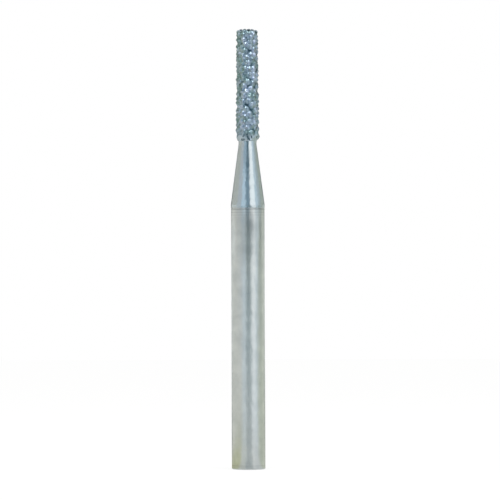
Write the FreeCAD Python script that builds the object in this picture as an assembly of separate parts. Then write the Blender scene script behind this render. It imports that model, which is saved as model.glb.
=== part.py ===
import FreeCAD, Part
import math
import os
import random

# Dental bur for a friction-grip turbine handpiece: a plain round shank, a tapered neck and a long
# head covered in diamond grit. All lengths are in millimetres.
# The origin is the centre of the shank's flat end, and +Z runs along the axis to the gritted tip.

LENGTH = 21.0            # over all, from the shank's end to the grit on the tip
SHANK_R = 0.8            # standard friction-grip shank, 1.600 across
SHANK_EDGE = 0.04        # chamfer round the shank's end
NECK_Z = 12.62           # where the shank starts to taper
WAIST_Z = 15.5           # where the taper runs out
WAIST_R = 0.42
CORE_R = 0.29            # the steel is turned down under the coat
CORE_Z = 20.76           # end of the steel

PLATE_Z = 12.47          # edge of the nickel on the shank
PLATE = 0.015            # thickness of the nickel on the shank and neck
COAT_Z = 15.65           # where the coat starts on the waist
LIP_LOW = (0.48, 15.74)  # radius and height where the coat's rounded start has swelled
LIP = (0.514, 15.91)     # and where it is thickest
COAT_LOW = (0.494, 16.12)    # radius and height where the coat's even taper starts
COAT_HIGH = (0.45, 20.845)   # and where it ends, at the rim of the tip
RIM = 0.07               # the rim's rounding
COAT_SIDES = 24          # flats round the nickel between the grains

GRAINS = 215
GRAIN_SEED = 22
GRAIN_REACH = (0.098, 0.128)   # a corner's distance from the middle of its grain
GRAIN_PITCH = 0.2        # least distance between the middles of two grains
GRAIN_GAP = 0.006        # least gap between two grains
GRAIN_SINK = 0.008       # depth of a grain's middle in the nickel
GRAIN_LOW = 16.0         # grains start just above the lip
CORNER_CUT = 0.28        # share of an edge that is lost where a corner is cut
PROUD = (0.5, 15.86)     # radius and height of the one grain that stands out of the lip
TIP_STAND = 0.02         # a grain this far above the end face is one of the tip's

# The coat tapers a little towards the tip.
LEAN = math.atan2(COAT_LOW[0] - COAT_HIGH[0], COAT_HIGH[1] - COAT_LOW[1])


def coat_radius(z):
    """Radius of the side of the coat at height z."""
    return COAT_HIGH[0] + (COAT_HIGH[1] - z) * math.tan(LEAN)


def rim_point(angle):
    """Radius and height of the point on the tip's rounded rim whose outward direction is angle."""
    return COAT_HIGH[0] + RIM * (math.cos(angle) - 1), COAT_HIGH[1] + RIM * math.sin(angle)


def turned(outline):
    """Solid turned about Z from an outline of (radius, height) corners."""
    corners = [FreeCAD.Vector(r, 0, z) for r, z in outline]
    face = Part.Face(Part.makePolygon(corners + corners[:1]))
    return face.revolve(FreeCAD.Vector(0, 0, 0), FreeCAD.Vector(0, 0, 1), 360)


def faceted(rings):
    """Closed solid with COAT_SIDES flats, through rings given as (radius, height)."""
    loops = []
    for r, z in rings:
        steps = [2 * math.pi * i / COAT_SIDES for i in range(COAT_SIDES)]
        loops.append([FreeCAD.Vector(r * math.cos(a), r * math.sin(a), z) for a in steps])
    outlines = [loops[0], loops[-1]]
    for low, high in zip(loops, loops[1:]):
        for i in range(COAT_SIDES):
            outlines.append([low[i - 1], low[i], high[i], high[i - 1]])
    faces = [Part.Face(Part.makePolygon(o + o[:1])) for o in outlines]
    return Part.Solid(Part.makeShell(faces))


def steel_blank():
    return turned([
        (0, 0),
        (SHANK_R - SHANK_EDGE, 0),
        (SHANK_R, SHANK_EDGE),
        (SHANK_R, NECK_Z),
        (WAIST_R, WAIST_Z),
        (WAIST_R, COAT_Z),
        (CORE_R, COAT_Z + WAIST_R - CORE_R),
        (CORE_R, CORE_Z),
        (0, CORE_Z),
    ])


def nickel_outside():
    """Outer form of the nickel: a thin skin over the neck, and the coat that the grit sits in."""
    neck = turned([
        (0, PLATE_Z),
        (SHANK_R + PLATE, PLATE_Z),
        (SHANK_R + PLATE, NECK_Z),
        (WAIST_R + PLATE, WAIST_Z),
        (WAIST_R + PLATE, LIP[1]),
        (0, LIP[1]),
    ])
    head = faceted([
        (WAIST_R + PLATE / 2, COAT_Z),
        LIP_LOW,
        LIP,
        COAT_LOW,
        COAT_HIGH,
        rim_point(math.pi / 4),
        rim_point(math.pi / 2),
    ])
    return neck.fuse(head)


def random_axes(rng):
    """Three directions square to each other, turned at random."""
    axis = FreeCAD.Vector(rng.gauss(0, 1), rng.gauss(0, 1), rng.gauss(0, 1))
    turn = FreeCAD.Rotation(axis, rng.uniform(0, 180))
    return [turn.multVec(FreeCAD.Vector(*v)) for v in ((1, 0, 0), (0, 1, 0), (0, 0, 1))]


def grain_corners(rng):
    """Six corners of an irregular eight-faced crystal about its own middle, in opposite pairs."""
    return [d * s * rng.uniform(*GRAIN_REACH) for d in random_axes(rng) for s in (1, -1)]


def place_on_coat(rng):
    """A point on the nickel of the head, and the direction straight out from it there.
    Side, rim and end get grains by their shares of the area."""
    side = (COAT_HIGH[1] - GRAIN_LOW) * 2 * math.pi * (COAT_LOW[0] + COAT_HIGH[0]) / 2
    rim = RIM * math.pi / 2 * 2 * math.pi * rim_point(math.pi / 4)[0]
    end = math.pi * rim_point(math.pi / 2)[0] ** 2
    pick = rng.uniform(0, side + rim + end)
    if pick < side:
        height = GRAIN_LOW + (COAT_HIGH[1] - GRAIN_LOW) * pick / side
        radius, tilt = coat_radius(height), LEAN
    elif pick < side + rim:
        tilt = math.pi / 2 * (pick - side) / rim
        radius, height = rim_point(tilt)
    else:
        tilt = math.pi / 2
        radius, height = rim_point(tilt)
        radius *= math.sqrt(rng.uniform(0, 1))
    around = rng.uniform(0, 2 * math.pi)
    across = FreeCAD.Vector(math.cos(around), math.sin(around), 0)
    up = FreeCAD.Vector(0, 0, 1)
    return across * radius + up * height, across * math.cos(tilt) + up * math.sin(tilt)


def stand_clear(middle, corners, other_middle, other_corners):
    """True where two grains, with corners about their middles, keep their pitch and their gap."""
    apart = other_middle - middle
    if apart.Length < GRAIN_PITCH:
        return False
    reach = max(c.dot(apart) for c in corners) + max(-c.dot(apart) for c in other_corners)
    return reach / apart.Length < apart.Length - GRAIN_GAP


def grain_layout():
    """Middle, corners about it and outward direction of every grain. The middles lie at one depth
    and the grains are turned at random, so each stands out by a different amount."""
    rng = random.Random(GRAIN_SEED)
    grains = [(FreeCAD.Vector(PROUD[0], 0, PROUD[1]), grain_corners(rng), FreeCAD.Vector(1, 0, 0))]
    while len(grains) < GRAINS:
        place, outward = place_on_coat(rng)
        corners = grain_corners(rng)
        middle = place - outward * GRAIN_SINK
        if all(stand_clear(middle, corners, other[0], other[1]) for other in grains):
            grains.append((middle, corners, outward))
    return grains


def crystal(middle, corners, outward):
    """Solid of a grain: an eight-faced crystal whose furthest corner is cut off by a ninth face."""
    tip = max(range(6), key=lambda i: corners[i].dot(outward))
    foot = tip ^ 1
    belt = [(tip + 2) % 6, (tip + 4) % 6, (foot + 2) % 6, (foot + 4) % 6]
    cut = [corners[tip] + (corners[i] - corners[tip]) * CORNER_CUT for i in belt]
    side = [corners[i] for i in belt]
    outlines = [cut]
    for i in range(4):
        outlines.append([side[i - 1], side[i], cut[i], cut[i - 1]])
        outlines.append([side[i - 1], side[i], corners[foot]])
    faces = []
    for outline in outlines:
        around = [middle + corner for corner in outline]
        faces.append(Part.Face(Part.makePolygon(around + around[:1])))
    return Part.Solid(Part.makeShell(faces))


def level_tip(grains):
    """Moves the grains on the end face together, so that the highest reaches the full length."""
    shift = LENGTH - max(grain.BoundBox.ZMax for grain in grains)
    for grain in grains:
        if grain.BoundBox.ZMax > rim_point(math.pi / 2)[1] + TIP_STAND:
            grain.translate(FreeCAD.Vector(0, 0, shift))


blank = steel_blank()
grains = [crystal(*grain) for grain in grain_layout()]
level_tip(grains)
plating = nickel_outside().cut([blank] + grains)
nodes = {
    "steel_blank": blank,
    "nickel_plating": plating.removeSplitter(),
    "diamond_grit": Part.makeCompound(grains),
}

os.makedirs("parts", exist_ok=True)
for name, shape in nodes.items():
    shape.exportStep(f"parts/{name}.step")
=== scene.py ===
import math
import random

import bmesh
import bpy
from mathutils import Matrix, Vector, kdtree, noise


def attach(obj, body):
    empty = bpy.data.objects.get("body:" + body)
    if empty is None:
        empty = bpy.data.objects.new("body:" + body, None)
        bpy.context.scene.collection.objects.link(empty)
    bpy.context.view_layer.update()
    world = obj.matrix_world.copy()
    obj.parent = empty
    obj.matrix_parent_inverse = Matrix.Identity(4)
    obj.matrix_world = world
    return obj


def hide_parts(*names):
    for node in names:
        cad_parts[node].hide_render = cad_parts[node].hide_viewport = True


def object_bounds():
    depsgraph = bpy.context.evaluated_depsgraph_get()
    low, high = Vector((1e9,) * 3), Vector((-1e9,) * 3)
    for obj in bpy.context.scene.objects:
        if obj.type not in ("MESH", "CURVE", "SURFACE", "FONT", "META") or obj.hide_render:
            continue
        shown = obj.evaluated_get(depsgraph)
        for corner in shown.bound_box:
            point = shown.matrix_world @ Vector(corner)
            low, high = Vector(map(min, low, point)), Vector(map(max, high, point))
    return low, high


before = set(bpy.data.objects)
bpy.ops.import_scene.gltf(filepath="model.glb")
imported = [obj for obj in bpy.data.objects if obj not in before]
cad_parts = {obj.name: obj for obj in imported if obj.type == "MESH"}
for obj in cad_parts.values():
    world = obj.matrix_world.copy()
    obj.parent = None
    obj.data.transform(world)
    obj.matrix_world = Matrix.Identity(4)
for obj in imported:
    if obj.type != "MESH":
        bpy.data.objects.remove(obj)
cad_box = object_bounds()


# The blank is a rod of hardened stainless steel, turned and then centreless ground on the shank.
# The chuck of the handpiece grips the shank, so it is a true cylinder with a small chamfer at
# its flat end. Above the neck the same steel runs on as the core of the head.
MM = 0.001            # sizes are in millimetres, and the scale of a pattern is per metre
SHANK_R = 0.8
NECK_Z = 12.62        # where the shank starts to taper
WAIST_Z = 15.5        # where the taper runs out
WAIST_R = 0.42
CORE_R = 0.29
CORE_Z = 20.76        # end of the steel
ROUND_STEPS = 160     # steps round a turned piece
MARK_PITCH = 0.13     # turning marks below the nickel, and where they fade in
MARKS_FOOT, MARKS_HEAD = 11.95, 12.35
RESIDUE_AND_SHADE_FOOT, RESIDUE_AND_SHADE_HEAD = 12.39, 12.43    # dark line under the nickel's edge: painted shade with bath residue
SCRATCH_Z, SCRATCH_HALF = 0.185, 0.022       # height and half width of a scratch
CHAMFER_SHADE_Z = 0.05       # the chamfered corner at the end is darkened with painted shade up to here


def spun(outline, steps):
    """A closed shell spun about Z from a closed outline of (radius, height) points in mm."""
    bm = bmesh.new()
    verts = [bm.verts.new((r * MM, 0, z * MM)) for r, z in outline]
    edges = [bm.edges.new(pair) for pair in zip(verts, verts[1:] + verts[:1])
             if pair[0].co.x > 1e-9 or pair[1].co.x > 1e-9]
    bmesh.ops.spin(bm, geom=verts + edges, cent=(0, 0, 0), axis=(0, 0, 1), dvec=(0, 0, 0),
                   angle=2 * math.pi, steps=steps, use_merge=True)
    bmesh.ops.remove_doubles(bm, verts=bm.verts, dist=1e-8)
    bmesh.ops.recalc_face_normals(bm, faces=bm.faces)
    return bm


def finished(bm, name, sharp=0.5):
    """The bmesh as an object at the origin, smooth except along edges sharper than that angle."""
    for face in bm.faces:
        face.smooth = True
    for edge in bm.edges:
        edge.smooth = not (edge.is_manifold and edge.calc_face_angle(0) > sharp)
    mesh = bpy.data.meshes.new(name)
    bm.to_mesh(mesh)
    bm.free()
    made = bpy.data.objects.new(name, mesh)
    bpy.context.collection.objects.link(made)
    return made


def linear(hex_colour):
    """Linear RGBA from an sRGB hex value."""
    parts = [int(hex_colour[i:i + 2], 16) / 255 for i in (1, 3, 5)]
    return [c / 12.92 if c <= 0.04045 else ((c + 0.055) / 1.055) ** 2.4 for c in parts] + [1]


def add(material, kind, inputs=None, **settings):
    """Adds a node to the material. An input takes a value or another node's output."""
    made = material.node_tree.nodes.new("ShaderNode" + kind)
    for name, value in settings.items():
        setattr(made, name, value)
    for key, value in (inputs or {}).items():
        if isinstance(value, bpy.types.NodeSocket):
            material.node_tree.links.new(value, made.inputs[key])
        else:
            made.inputs[key].default_value = value
    return made


def new_material(name):
    """A material with no nodes yet."""
    made = bpy.data.materials.new(name)
    made.use_nodes = True
    made.node_tree.nodes.clear()
    return made


shank = finished(spun([
    (0, 0),
    (SHANK_R - 0.045, 0),
    (SHANK_R - 0.035, 0.004),
    (SHANK_R - 0.004, 0.035),
    (SHANK_R, 0.045),
    (SHANK_R, NECK_Z),
    (WAIST_R, WAIST_Z),
    (WAIST_R, 15.65),
    (CORE_R, 15.78),
    (CORE_R, CORE_Z),
    (0, CORE_Z),
], ROUND_STEPS), "ground_shank")

# Centreless grinding leaves hair lines round the shank, about 0.01 mm apart. They are drawn at
# 0.05 mm so that they show. To the eye they soften the reflections up and down the shank, and a
# faint waviness of the ground face, about 0.3 mm long, mottles them.
ground_steel = new_material("ground_stainless_steel")
place = add(ground_steel, "TexCoord").outputs["Object"]
rings = add(ground_steel, "Mapping", {"Vector": place, "Scale": (400, 400, 20000)})
hair = add(ground_steel, "TexNoise", {"Vector": rings.outputs[0], "Scale": 1, "Detail": 3,
                                      "Roughness": 0.6})
cloud = add(ground_steel, "TexNoise", {"Vector": place, "Scale": 2000, "Detail": 3})
tone = add(ground_steel, "ValToRGB", {"Fac": cloud.outputs["Fac"]})
tone.color_ramp.elements[0].position = 0.3
tone.color_ramp.elements[0].color = linear("#C9CECE")
tone.color_ramp.elements[1].position = 0.7
tone.color_ramp.elements[1].color = linear("#D9DDDC")
rough = add(ground_steel, "MapRange", {"Value": hair.outputs["Fac"], "From Min": 0.3,
                                       "From Max": 0.7, "To Min": 0.32, "To Max": 0.4})
waves = add(ground_steel, "TexNoise", {"Vector": place, "Scale": 3500, "Detail": 1})
lobes = add(ground_steel, "Bump", {"Height": waves.outputs["Fac"], "Strength": 1,
                                   "Distance": 0.000018})
bump = add(ground_steel, "Bump", {"Height": hair.outputs["Fac"], "Strength": 0.5,
                                  "Distance": 0.000002, "Normal": lobes.outputs[0]})

# Turning marks 0.13 mm apart are left below the nickel. A dark broken line under its edge is
# painted shade of the nickel's step together with bath residue. A scratch runs round the shank
# near its end, and its chamfered corner is darkened as painted shade.
height = add(ground_steel, "SeparateXYZ", {"Vector": place})
turn = add(ground_steel, "Math", {0: height.outputs["Z"], 1: 2 * math.pi / (MARK_PITCH * MM)},
           operation="MULTIPLY")
mark = add(ground_steel, "Math", {0: turn.outputs[0]}, operation="SINE")
near_nickel = add(ground_steel, "MapRange", {
    "Value": height.outputs["Z"], "From Min": MARKS_FOOT * MM, "From Max": MARKS_HEAD * MM,
    "To Min": 0, "To Max": 0.25})
marks = add(ground_steel, "Math", {0: mark.outputs[0], 1: near_nickel.outputs[0]},
            operation="MULTIPLY")
# Painted shade and bath residue: a dark band just under the nickel's edge, broken up by the
# waviness.
residue_and_edge_shade = add(ground_steel, "MapRange", {
    "Value": height.outputs["Z"], "From Min": RESIDUE_AND_SHADE_FOOT * MM, "From Max": RESIDUE_AND_SHADE_HEAD * MM,
    "To Min": 0, "To Max": 0.5})
broken = add(ground_steel, "MapRange", {"Value": waves.outputs["Fac"], "From Min": 0.35,
                                        "From Max": 0.65, "To Min": 0.3, "To Max": 1.2})
marks_residue_and_shade = add(ground_steel, "Math", {0: residue_and_edge_shade.outputs[0], 1: broken.outputs[0],
                                         2: marks.outputs[0]},
                  operation="MULTIPLY_ADD", use_clamp=True)
scratch = add(ground_steel, "Math", {0: height.outputs["Z"], 1: SCRATCH_Z * MM,
                                     2: SCRATCH_HALF * MM}, operation="COMPARE")
# Painted shade: the chamfered corner at the shank's end is darkened a little.
corner = add(ground_steel, "Math", {0: height.outputs["Z"], 1: CHAMFER_SHADE_Z * MM},
             operation="LESS_THAN")
scratch_and_chamfer_shade = add(ground_steel, "Math", {0: scratch.outputs[0], 1: corner.outputs[0]},
                operation="ADD")
# The turning marks, the scratch and the painted shade under the nickel and on the chamfer darken
# the steel's tone.
marks_and_painted_shade = add(ground_steel, "Math", {0: scratch_and_chamfer_shade.outputs[0], 1: 0.12,
                                       2: marks_residue_and_shade.outputs[0]}, operation="MULTIPLY_ADD")
worn_and_shaded = add(ground_steel, "Mix", {"Factor": marks_and_painted_shade.outputs[0], 6: tone.outputs["Color"],
                                 7: linear("#4A545A")}, data_type="RGBA")
around = add(ground_steel, "Tangent", direction_type="RADIAL", axis="Z")
steel = add(ground_steel, "BsdfPrincipled", {
    "Base Color": worn_and_shaded.outputs[2], "Metallic": 1, "Roughness": rough.outputs[0],
    "Anisotropic": 0.75, "Anisotropic Rotation": 0.25,
    "Normal": bump.outputs[0], "Tangent": around.outputs[0]})
add(ground_steel, "OutputMaterial", {"Surface": steel.outputs[0]})

shank.data.materials.append(ground_steel)
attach(shank, "root")
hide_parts("steel_blank")


# The neck carries a flash of bright nickel from the plating bath. It ends in a fine step on the
# shank, where the bath's mask sat, and follows the turned cone up to the waist.
PLATE = 0.006         # thickness of the nickel
PLATE_Z = 12.47       # its edge on the shank
COAT_Z = 15.65        # where the coat of the head starts
SUNK = 0.002          # the skin's inner face lies this far inside the steel

neck = finished(spun([
    (SHANK_R - SUNK, PLATE_Z),
    (SHANK_R + PLATE - 0.004, PLATE_Z),
    (SHANK_R + PLATE, PLATE_Z + 0.004),
    (SHANK_R + PLATE, NECK_Z - 0.02),
    (SHANK_R + PLATE - 0.003, NECK_Z + 0.02),
    (WAIST_R + PLATE + 0.012, WAIST_Z - 0.09),
    (WAIST_R + PLATE + 0.002, WAIST_Z - 0.01),
    (WAIST_R + PLATE, WAIST_Z + 0.06),
    (WAIST_R + PLATE, COAT_Z + 0.05),
    (WAIST_R - SUNK, COAT_Z + 0.05),
    (WAIST_R - SUNK, WAIST_Z),
    (SHANK_R - SUNK, NECK_Z),
], ROUND_STEPS), "plated_neck")

# Bright nickel is close to a mirror with a faint cool cast. The turning marks of the cone show
# through it as hair lines 0.03 mm apart, and a waviness 0.3 mm long makes the bands wander.
bright_nickel = new_material("bright_nickel_plate")
place = add(bright_nickel, "TexCoord").outputs["Object"]
rings = add(bright_nickel, "Mapping", {"Vector": place, "Scale": (300, 300, 30000)})
turning = add(bright_nickel, "TexNoise", {"Vector": rings.outputs[0], "Scale": 1, "Detail": 2})
haze = add(bright_nickel, "TexNoise", {"Vector": place, "Scale": 2500, "Detail": 4})
waves = add(bright_nickel, "TexNoise", {"Vector": place, "Scale": 3000, "Detail": 2})
lobes = add(bright_nickel, "Bump", {"Height": waves.outputs["Fac"], "Strength": 1,
                                    "Distance": 0.000024})
bump = add(bright_nickel, "Bump", {"Height": turning.outputs["Fac"], "Strength": 0.8,
                                   "Distance": 0.0000015, "Normal": lobes.outputs[0]})
rough = add(bright_nickel, "MapRange", {"Value": haze.outputs["Fac"], "From Min": 0.35,
                                        "From Max": 0.65, "To Min": 0.18, "To Max": 0.26})
around = add(bright_nickel, "Tangent", direction_type="RADIAL", axis="Z")
nickel = add(bright_nickel, "BsdfPrincipled", {
    "Base Color": linear("#CAD4D8"), "Metallic": 1, "Roughness": rough.outputs[0],
    "Anisotropic": 0.4, "Anisotropic Rotation": 0.25,
    "Normal": bump.outputs[0], "Tangent": around.outputs[0]})
add(bright_nickel, "OutputMaterial", {"Surface": nickel.outputs[0]})

neck.data.materials.append(bright_nickel)
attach(neck, "root")
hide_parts("nickel_plating")


# The grit is blocky synthetic diamond, sieved to about 0.2 mm. Each crystal sits where the
# plating caught it, with its corners cut by the crystal's second set of faces.
# The tip's corner is trued with a dressing stone.
CRYSTAL_GROWTH = 1.1  # makes up for the corners that are cut
CORNER_CUT = 22       # per cent of an edge
TRUED_Z = 20.8        # the stone's line starts here, at this radius, and leans in
TRUED_R = 0.515
TRUED_LEAN = 0.55

grit = bmesh.new()
grit.from_mesh(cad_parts["diamond_grit"].data)
bmesh.ops.remove_doubles(grit, verts=grit.verts, dist=1e-7)


def islands(bm):
    """The vertices of each loose part."""
    left, found = set(bm.verts), []
    while left:
        group, waiting = set(), [left.pop()]
        while waiting:
            vert = waiting.pop()
            group.add(vert)
            for edge in vert.link_edges:
                other = edge.other_vert(vert)
                if other in left:
                    left.discard(other)
                    waiting.append(other)
        found.append(sorted(group, key=lambda v: v.index))
    return found


tint = grit.verts.layers.float.new("tint")
grit.verts.index_update()
crystals = sorted(islands(grit), key=lambda g: g[0].index)
middles = [sum((v.co for v in group), Vector()) / len(group) for group in crystals]
rng = random.Random(4)
for group, middle in zip(crystals, middles):
    shade = rng.random()
    for vert in group:
        vert[tint] = shade
    bmesh.ops.scale(grit, verts=group, vec=(CRYSTAL_GROWTH,) * 3,
                    space=Matrix.Translation(-middle))
bmesh.ops.bevel(grit, geom=grit.verts[:], offset=CORNER_CUT, offset_type="PERCENT", segments=1,
                profile=0.5, affect="VERTICES", material=-1)
top = cad_box[1][2]
for vert in grit.verts:
    vert.co.z = min(vert.co.z, top)
    radius = math.hypot(vert.co.x, vert.co.y)
    trued = (TRUED_R - TRUED_LEAN * max(0, vert.co.z / MM - TRUED_Z)) * MM
    if vert.co.z > TRUED_Z * MM and radius > trued:
        vert.co.x *= trued / radius
        vert.co.y *= trued / radius
crystal_grit = finished(grit, "diamond_crystals", sharp=0.1)

# Diamond bends light strongly and its flat faces flash, while the body of a crystal in nickel
# looks grey, in patches from teal to lavender about 0.4 mm long. Each crystal has its own shade.
diamond = new_material("diamond_crystal")
place = add(diamond, "TexCoord").outputs["Object"]
patch = add(diamond, "TexNoise", {"Vector": place, "Scale": 2400, "Detail": 1})
cast = add(diamond, "ValToRGB", {"Fac": patch.outputs["Fac"]})
cast.color_ramp.elements[0].position = 0.35
cast.color_ramp.elements[0].color = linear("#869FA2")
cast.color_ramp.elements[1].position = 0.65
cast.color_ramp.elements[1].color = linear("#B2C0D4")
shade = add(diamond, "Attribute", attribute_name="tint")
tone = add(diamond, "ValToRGB", {"Fac": shade.outputs["Fac"]})
tone.color_ramp.elements[0].color = linear("#A0A0A0")
tone.color_ramp.elements[1].color = linear("#FFFFFF")
body = add(diamond, "Mix", {"Factor": 1, 6: cast.outputs["Color"], 7: tone.outputs["Color"]},
           data_type="RGBA", blend_type="MULTIPLY")
crystal = add(diamond, "BsdfPrincipled", {
    "Base Color": body.outputs[2], "Metallic": 0.55, "Roughness": 0.25, "IOR": 2.42})
add(diamond, "OutputMaterial", {"Surface": crystal.outputs[0]})

crystal_grit.data.materials.append(diamond)
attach(crystal_grit, "root")
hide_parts("diamond_grit")


# The coat is nickel grown round the crystals in the bath. It starts in a lumpy shoulder with an
# uneven edge on the waist, climbs up each crystal, and is low between crystals that stand apart.
LIP_LOW = (0.48, 15.74)      # radius and height where the shoulder has swelled
LIP = (0.514, 15.91)         # and where it is thickest
COAT_LOW = (0.494, 16.12)    # radius and height where the coat's even taper starts
COAT_HIGH = (0.45, 20.845)   # and where it ends, at the rim of the tip
RIM = 0.07                   # the rim's rounding
RIM_PARTS = 6
CELL = 0.018                 # spacing of the points along the coat
FILLET_REACH = 0.2           # the coat starts to climb this far from a crystal's middle
FILLET_RISE = 0.066
HOLLOW_SHADE_FROM = 0.14           # and is darkened with painted shade beyond this
WAVY_EDGE = 0.05

stations = [(WAIST_R + 0.01, COAT_Z), (0.462, 15.69), LIP_LOW, (0.504, 15.81), LIP,
            (0.506, 16.02), COAT_LOW, COAT_HIGH]
for step in range(1, RIM_PARTS + 1):
    turn = math.pi / 2 * step / RIM_PARTS
    stations.append((COAT_HIGH[0] + RIM * (math.cos(turn) - 1),
                     COAT_HIGH[1] + RIM * math.sin(turn)))
stations.append((0, stations[-1][1]))
outline = []
for (r0, z0), (r1, z1) in zip(stations, stations[1:]):
    parts = max(1, round(math.hypot(r1 - r0, z1 - z0) / CELL))
    outline += [(r0 + (r1 - r0) * i / parts, z0 + (z1 - z0) * i / parts) for i in range(parts)]
outline += [(0, stations[-1][1]), (0, CORE_Z), (CORE_R - SUNK, CORE_Z),
            (CORE_R - SUNK, COAT_Z + WAIST_R - CORE_R), (WAIST_R - SUNK, COAT_Z)]
coat = spun(outline, ROUND_STEPS)
hollow_shade = coat.verts.layers.float.new("hollow_shade")
coat.normal_update()

# Fillets climb towards the nearest crystal. Lumps 0.2 and 0.09 mm long roughen the coat a little
# and its shoulder more.
near = kdtree.KDTree(len(middles))
for i, middle in enumerate(middles):
    near.insert(middle, i)
near.balance()
moved = []
for vert in coat.verts:
    radius = math.hypot(vert.co.x, vert.co.y)
    inside = radius < CORE_R * MM + 1e-6 and vert.co.z < (COAT_HIGH[1] + RIM) * MM - 1e-6
    if inside or vert.co.z < (COAT_Z + 0.03) * MM:
        continue
    distance = near.find(vert.co)[2] / MM
    fillet = FILLET_RISE * max(0.0, 1 - (distance / FILLET_REACH) ** 2) ** 2
    shoulder = min(1.0, max(0.0, (16.1 - vert.co.z / MM) / 0.2))
    lump = noise.noise(vert.co * 5000) * (0.008 + 0.024 * shoulder)
    lump += noise.noise(vert.co * 11000) * 0.026 * shoulder
    # Vertices far from any crystal get a weight of painted shade, which darkens the coat there.
    if vert.co.z > LIP[1] * MM:
        vert[hollow_shade] = min(1.0, max(0.0, (distance - HOLLOW_SHADE_FROM) / 0.05))
    moved.append((vert, vert.normal * (fillet + lump) * MM))
for vert, shift in moved:
    vert.co += shift
for vert in coat.verts:
    start = min(1.0, max(0.0, (15.9 - vert.co.z / MM) / 0.25))
    outward = Vector((vert.co.x, vert.co.y, 0)).normalized()
    vert.co.z += noise.noise(outward * 3) * WAVY_EDGE * start * MM
coat = finished(coat, "nickel_coat", sharp=1.2)

# Bath-grown nickel is a dull mirror of fine nodules. The hollows between the crystals are
# darkened with painted shade. The shoulder is bare and paler, and its few dark crevices are
# painted shade.
nodular_nickel = new_material("nodular_nickel_coat")
place = add(nodular_nickel, "TexCoord").outputs["Object"]
nodules = add(nodular_nickel, "TexVoronoi", {"Vector": place, "Scale": 14000},
              feature="SMOOTH_F1")
fine = add(nodular_nickel, "TexNoise", {"Vector": place, "Scale": 12000, "Detail": 3})
bump = add(nodular_nickel, "Bump", {"Height": nodules.outputs["Distance"], "Strength": 0.5,
                                    "Distance": 0.000003}, invert=True)
patch = add(nodular_nickel, "TexNoise", {"Vector": place, "Scale": 2400, "Detail": 1})
tone = add(nodular_nickel, "ValToRGB", {"Fac": patch.outputs["Fac"]})
tone.color_ramp.elements[0].position = 0.35
tone.color_ramp.elements[0].color = linear("#869FA2")
tone.color_ramp.elements[1].position = 0.65
tone.color_ramp.elements[1].color = linear("#B2C0D4")
# Painted shade darkens the hollows far from the crystals, broken up by fine noise.
deep = add(nodular_nickel, "Attribute", attribute_name="hollow_shade")
broken = add(nodular_nickel, "MapRange", {"Value": fine.outputs["Fac"], "From Min": 0.3,
                                          "From Max": 0.6, "To Min": 0.5, "To Max": 1})
hollow_shade_amount = add(nodular_nickel, "Math", {0: deep.outputs["Fac"], 1: broken.outputs[0]},
            operation="MULTIPLY")
tone_and_hollow_shade = add(nodular_nickel, "Mix", {"Factor": hollow_shade_amount.outputs[0], 6: tone.outputs["Color"],
                                      7: linear("#34505C")}, data_type="RGBA")
height = add(nodular_nickel, "SeparateXYZ", {"Vector": place})
# Painted shade: dark crevices in the pale shoulder, set by noise.
crevice_shade_noise = add(nodular_nickel, "TexNoise", {"Vector": place, "Scale": 6500, "Detail": 2})
bare = add(nodular_nickel, "MapRange", {"Value": crevice_shade_noise.outputs["Fac"], "From Min": 0.38,
                                        "From Max": 0.47, "To Min": 0, "To Max": 1})
shoulder_and_crevice_shade = add(nodular_nickel, "Mix", {"Factor": bare.outputs[0], 6: linear("#50666F"),
                                            7: linear("#BAC8D2")}, data_type="RGBA")
lip = add(nodular_nickel, "MapRange", {"Value": height.outputs["Z"], "From Min": 0.01586,
                                       "From Max": 0.01602, "To Min": 1, "To Max": 0})
coat_and_painted_shade = add(nodular_nickel, "Mix", {"Factor": lip.outputs[0], 6: tone_and_hollow_shade.outputs[2],
                                    7: shoulder_and_crevice_shade.outputs[2]}, data_type="RGBA")
coated = add(nodular_nickel, "BsdfPrincipled", {
    "Base Color": coat_and_painted_shade.outputs[2], "Metallic": 1, "Roughness": 0.3,
    "Normal": bump.outputs[0]})
add(nodular_nickel, "OutputMaterial", {"Surface": coated.outputs[0]})

coat.data.materials.append(nodular_nickel)
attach(coat, "root")


# The stage is a pale floor in a white room. Bright metal shows only what stands round it, so
# papers and small cards surround the bur as they do on a jeweller's table. They cast no shadow
# and show in the metal alone, and a gap to the right of the camera leaves the bright band.
def paper(name, start, end, foot, head, colour):
    """Paper bent round the bur between two azimuths, counted from the camera to its right. Its
    section runs from foot to head, each a (radius, height) in mm."""
    bm = bmesh.new()
    turn = math.radians(start)
    ends = [bm.verts.new((r * MM * math.sin(turn), -r * MM * math.cos(turn), z * MM))
            for r, z in (foot, head)]
    bmesh.ops.spin(bm, geom=ends + [bm.edges.new(ends)], cent=(0, 0, 0), axis=(0, 0, 1),
                   dvec=(0, 0, 0), angle=math.radians(end - start), steps=24)
    made = finished(bm, name)
    surface = new_material(name)
    matte = add(surface, "BsdfDiffuse", {"Color": linear(colour)})
    add(surface, "OutputMaterial", {"Surface": matte.outputs[0]})
    made.data.materials.append(surface)
    made.visible_camera = False
    made.visible_diffuse = False
    made.visible_shadow = False


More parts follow.
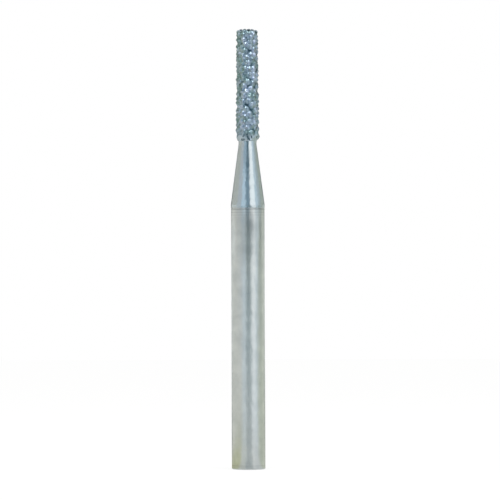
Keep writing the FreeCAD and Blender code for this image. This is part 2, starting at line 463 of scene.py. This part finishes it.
# A hand's width away, for the neck and the head.
paper("grey_paper_left", -180, -44, (90, 12), (90, 54), "#BEBDB6")
paper("light_paper_left", -180, -44, (90, 0), (90, 12), "#F0F4F6")
paper("blue_grey_paper_left", -78, -44, (89, 12), (89, 54), "#BBBEC3")
paper("pale_blue_paper", -44, -14, (90, 12), (90, 55), "#C8DAE8")
paper("grey_blue_paper", -44, -14, (90, 0), (90, 12), "#C4D0D8")
paper("dark_cloth", -14, 15, (45, 12.2), (45, 70), "#8299A8")
paper("dark_cloth_low", -13, 27, (44, 0.3), (44, 12.2), "#9AA5A4")
paper("grey_paper_before_camera", -14, 15, (90, 0), (90, 60), "#B5BAB7")
paper("lavender_paper", 53, 76, (90, 0), (90, 60), "#C8D6E0")
paper("grey_paper_right", 76, 180, (90, 12), (90, 60), "#ADB1A8")
paper("blue_grey_paper_right", 76, 102, (89, 12), (89, 60), "#B2BBBE")
paper("grey_green_paper", 76, 108, (90, 0), (90, 12), "#AEB8B0")
paper("light_paper_right", 108, 180, (90, 0), (90, 12), "#F4F8F4")
paper("dark_paper_behind_left", -180, -148, (88, 14), (88, 60), "#5E6A6C")
paper("dark_paper_behind_right", 148, 180, (88, 14), (88, 60), "#5E6A6C")
paper("dark_paper_above", -44, 40, (90, 55), (90, 110), "#66767E")
paper("light_paper_overhead", -180, -44, (5, 110), (90, 110), "#DCE2E2")
paper("dark_paper_overhead", -44, 40, (5, 110), (90, 110), "#7C8A90")
paper("grey_paper_overhead", 40, 180, (5, 110), (90, 110), "#B4BEC0")

# On the floor, from the foot of the shank outwards.
paper("olive_card_on_floor", -145, -44, (0.83, 0.02), (4, 0.02), "#C0C09A")
paper("grey_card_on_floor", -145, -44, (4, 0.02), (90, 0.02), "#CCCBC4")
paper("pale_card_on_floor", -44, -14, (0.83, 0.02), (4, 0.02), "#D0D0C8")
paper("blue_card_on_floor", -44, -14, (4, 0.02), (90, 0.02), "#D0D5D8")
paper("card_on_floor_front", -14, 22, (0.83, 0.02), (12, 0.02), "#B6BABA")
paper("dark_cloth_on_floor", -14, 22, (12, 0.02), (90, 0.02), "#A4B0B4")
paper("card_on_floor_near_right", 22, 68, (0.83, 0.02), (4, 0.02), "#D2D3D2")
paper("card_on_floor_right", 22, 68, (4, 0.02), (90, 0.02), "#D0D7DC")
paper("card_on_floor_far_right", 68, 145, (0.83, 0.02), (90, 0.02), "#C2C5B6")
paper("card_on_floor_behind", 145, 215, (0.83, 0.02), (90, 0.02), "#8A928A")

# Small cards close to the shank, which darken its upper end and pale its outline.
paper("near_card_behind_left", -125, -90, (5, 11), (5, 12.3), "#F8FAFA")
paper("near_card_far_left", -76, -44, (5, 11), (5, 12.3), "#B0B8B8")
paper("near_card_left", -44, -14, (5, 10.8), (5, 12.3), "#7C888C")
paper("near_card_front", -14, 15, (5, 10), (5, 12.3), "#6C7876")
paper("near_card_right", 15, 34, (5, 10.8), (5, 12.3), "#646F73")
paper("near_card_far_right", 34, 60, (5, 11.2), (5, 12.3), "#A8B4BA")
paper("near_card_side", 76, 100, (5, 10.6), (5, 12.3), "#88928C")
paper("near_card_under_nickel", -22, 34, (2.6, 11.9), (2.6, 12.3), "#3A4446")
paper("white_card_behind_left", -180, -151, (3, 2.8), (3, 11.8), "#FFFFFF")
paper("white_card_behind_right", 155, 180, (3, 4), (3, 11.8), "#FFFFFF")
paper("dark_card_low_left", -180, -142, (3, 0.02), (3, 2), "#7A807A")

# Small cards close to the waist and the head, olive on its left and dark over its tip.
paper("dark_card_by_waist", -14, 15, (5, 15.4), (5, 17.6), "#627A86")
paper("blue_card_by_waist", -44, -14, (5, 15.4), (5, 17.2), "#ACC0D0")
paper("olive_card_by_head", -120, -50, (5, 17.4), (5, 22), "#BAC2AE")
paper("grey_card_by_head_left", -180, -120, (5, 17.4), (5, 22), "#9AA29A")
paper("grey_card_by_head_right", 120, 180, (5, 17.4), (5, 22), "#8C948E")
paper("pale_card_by_head", 20, 62, (5, 17.4), (5, 22), "#D0D6E4")
paper("dark_card_over_tip", -180, 180, (0.02, 22.6), (1.5, 22.6), "#3A3C3A")

# The floor is matt white card. To the camera and in the metal most of it is the white of the
# backdrop, and the rest keeps the bur's shadow.
bm = bmesh.new()
bmesh.ops.create_grid(bm, x_segments=1, y_segments=1, size=0.2)
floor = finished(bm, "floor")
pale = new_material("pale_floor")
path = add(pale, "LightPath")
seen = add(pale, "Math", {0: path.outputs["Is Camera Ray"], 1: path.outputs["Is Glossy Ray"]},
           operation="MAXIMUM")
seen_at_all = add(pale, "Math", {0: seen.outputs[0], 1: path.outputs["Is Transmission Ray"]},
                  operation="MAXIMUM")
share = add(pale, "Math", {0: seen_at_all.outputs[0], 1: 0.8}, operation="MULTIPLY")
matte = add(pale, "BsdfDiffuse", {"Color": linear("#F8F8F7")})
white = add(pale, "Emission", {"Color": (1, 1, 1, 1), "Strength": 1})
mixed = add(pale, "MixShader", {0: share.outputs[0], 1: matte.outputs[0], 2: white.outputs[0]})
add(pale, "OutputMaterial", {"Surface": mixed.outputs[0]})
floor.data.materials.append(pale)

room = bpy.data.worlds.new("white_room")
room.use_nodes = True
room.node_tree.nodes["Background"].inputs["Color"].default_value = (1, 1, 1, 1)
room.node_tree.nodes["Background"].inputs["Strength"].default_value = 1
bpy.context.scene.world = room


def soft_lamp(name, azimuth, elevation, distance, width, height, radiance):
    """A softbox that faces the middle of the bur, as bright as that radiance."""
    turn, rise = math.radians(azimuth), math.radians(elevation)
    lamp = bpy.data.lights.new(name, "AREA")
    lamp.shape = "RECTANGLE"
    lamp.size = width * MM
    lamp.size_y = height * MM
    lamp.energy = radiance * math.pi * width * height * MM * MM
    made = bpy.data.objects.new(name, lamp)
    out = Vector((math.sin(turn) * math.cos(rise), -math.cos(turn) * math.cos(rise),
                  math.sin(rise)))
    made.location = out * distance * MM + Vector((0, 0, 0.012))
    made.rotation_euler = (math.pi / 2 - rise, 0, turn)
    bpy.context.collection.objects.link(made)


soft_lamp("softbox_right", 36, 0, 120, 76, 150, 0.28)
soft_lamp("lamp_high_right", 45, 52, 100, 36, 36, 5)
soft_lamp("lamp_high_left", -24, 52, 100, 24, 24, 8)

# The photograph is taken level with the bur's middle through a long lens.
DISTANCE = 200
PIXELS_PER_MM = 20.95
FOOT_ROW = 469.1      # the photograph's row of pixels at the shank's end, of 500
ROLL = -0.2           # the bur leans this little, in degrees
camera = bpy.data.objects.new("camera", bpy.data.cameras.new("camera"))
camera.data.sensor_width = 36
camera.data.lens = 36 * DISTANCE * PIXELS_PER_MM / 500
camera.data.clip_start = 0.01
camera.data.clip_end = 10
camera.data.dof.use_dof = False
camera.location = (0.1 * MM, -DISTANCE * MM, (FOOT_ROW - 250) / PIXELS_PER_MM * MM)
camera.rotation_euler = (math.pi / 2, 0, 0)
camera.rotation_euler.rotate_axis("Z", math.radians(ROLL))
bpy.context.collection.objects.link(camera)
bpy.context.scene.camera = camera
bpy.context.scene.view_settings.view_transform = "Standard"
